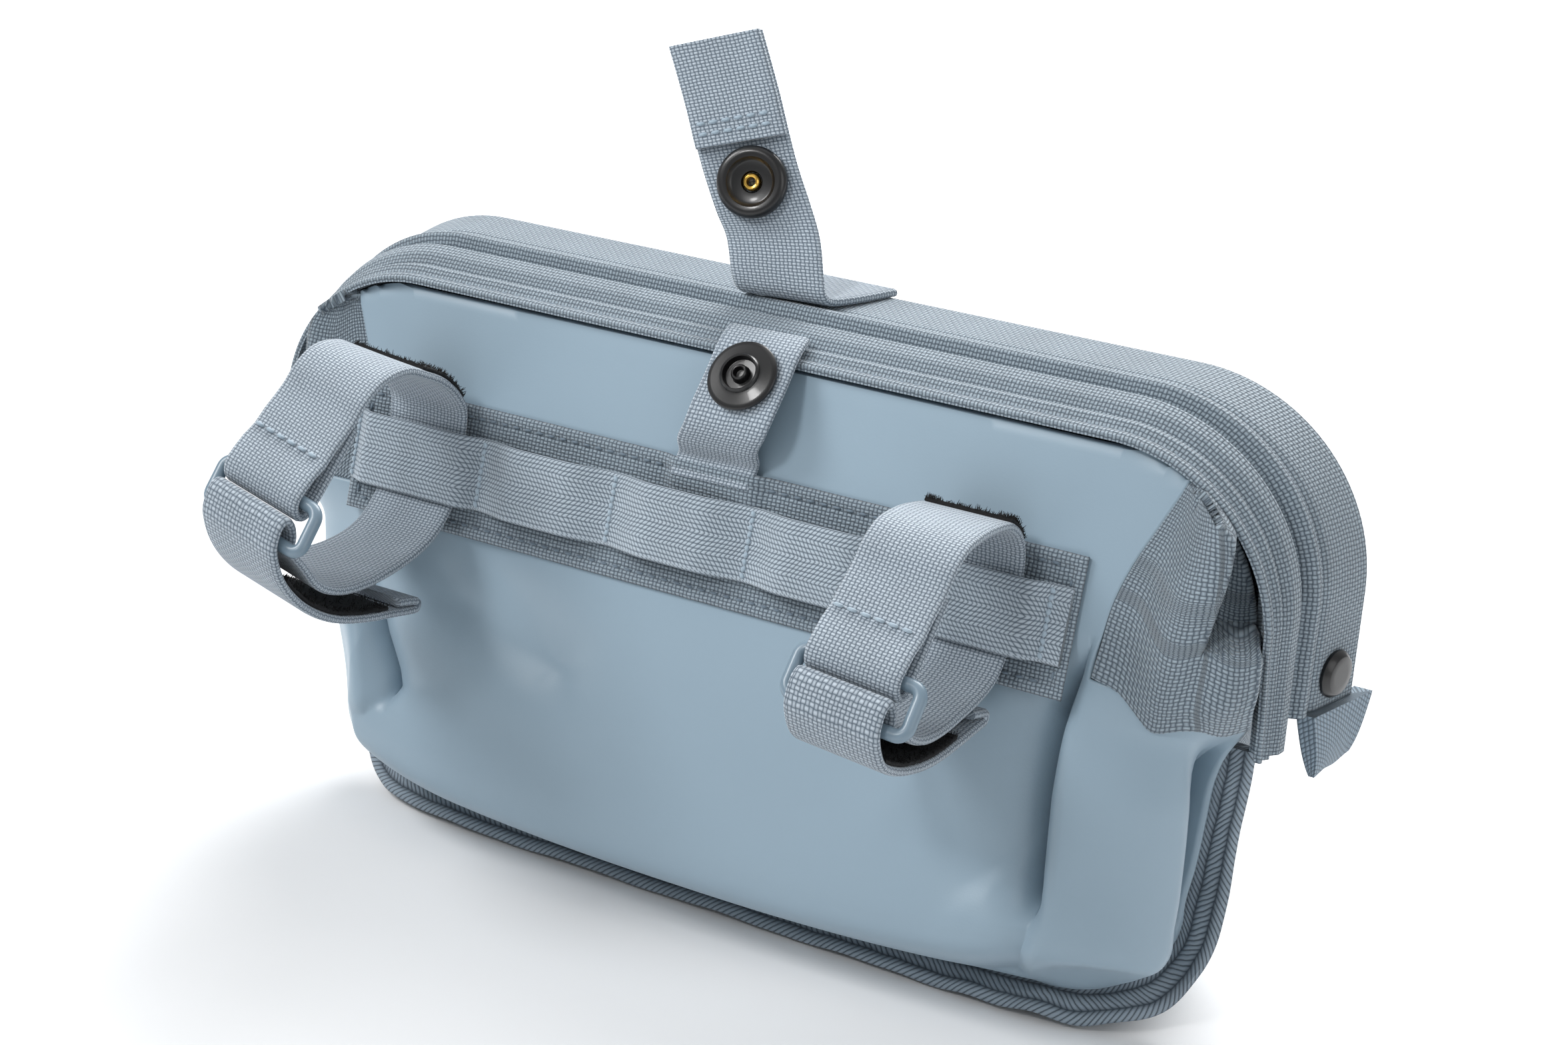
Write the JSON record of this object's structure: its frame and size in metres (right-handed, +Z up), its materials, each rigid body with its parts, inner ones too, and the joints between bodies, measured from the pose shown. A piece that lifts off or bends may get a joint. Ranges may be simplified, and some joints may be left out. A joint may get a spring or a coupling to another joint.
{
  "type": "bicycle handlebar bag",
  "caption": "Soft box-shaped bag with a framed top mouth, a snap closing strap, a webbing panel and hook-and-loop straps that wrap a handlebar.",
  "frame": {"origin": "middle of the flat bottom that the bag stands on", "axes": "+X along the bag, seen from the rider's side to the right; +Y away from the rider; +Z up"},
  "size_m": [0.252, 0.1208, 0.1816],
  "materials": {
    "coated_fabric": "matt coating on a plain weave",
    "canvas": "coarse woven, matt",
    "webbing": "woven tape, matt",
    "binding_tape": "herringbone tape, matt",
    "black_snap": "satin black coat",
    "brass_eyelet": "satin",
    "ring_plastic": "semi-gloss",
    "fastener_fabric": "napped loops and hooks"
  },
  "bodies": {
    "root": {"body_shell": "coated_fabric", "front_panel": "canvas", "gusset_left": "canvas", "gusset_right": "canvas", "seam_binding": "binding_tape", "back_frame_sleeve": "canvas", "front_frame_sleeve": "canvas", "closing_strap": "webbing", "snap_socket": "black_snap", "socket_eyelet": "brass_eyelet", "stud_strap": "webbing", "snap_stud": "black_snap", "daisy_panel": "canvas", "daisy_webbing": "webbing", "rivet_left": "black_snap", "end_tab_left": "binding_tape", "strap_left": "webbing", "strap_ring_left": "ring_plastic", "loop_patch_left": "fastener_fabric", "hook_patch_left": "fastener_fabric", "rivet_right": "black_snap", "end_tab_right": "binding_tape", "strap_right": "webbing", "strap_ring_right": "ring_plastic", "loop_patch_right": "fastener_fabric", "hook_patch_right": "fastener_fabric"}
  },
  "joints": []
}
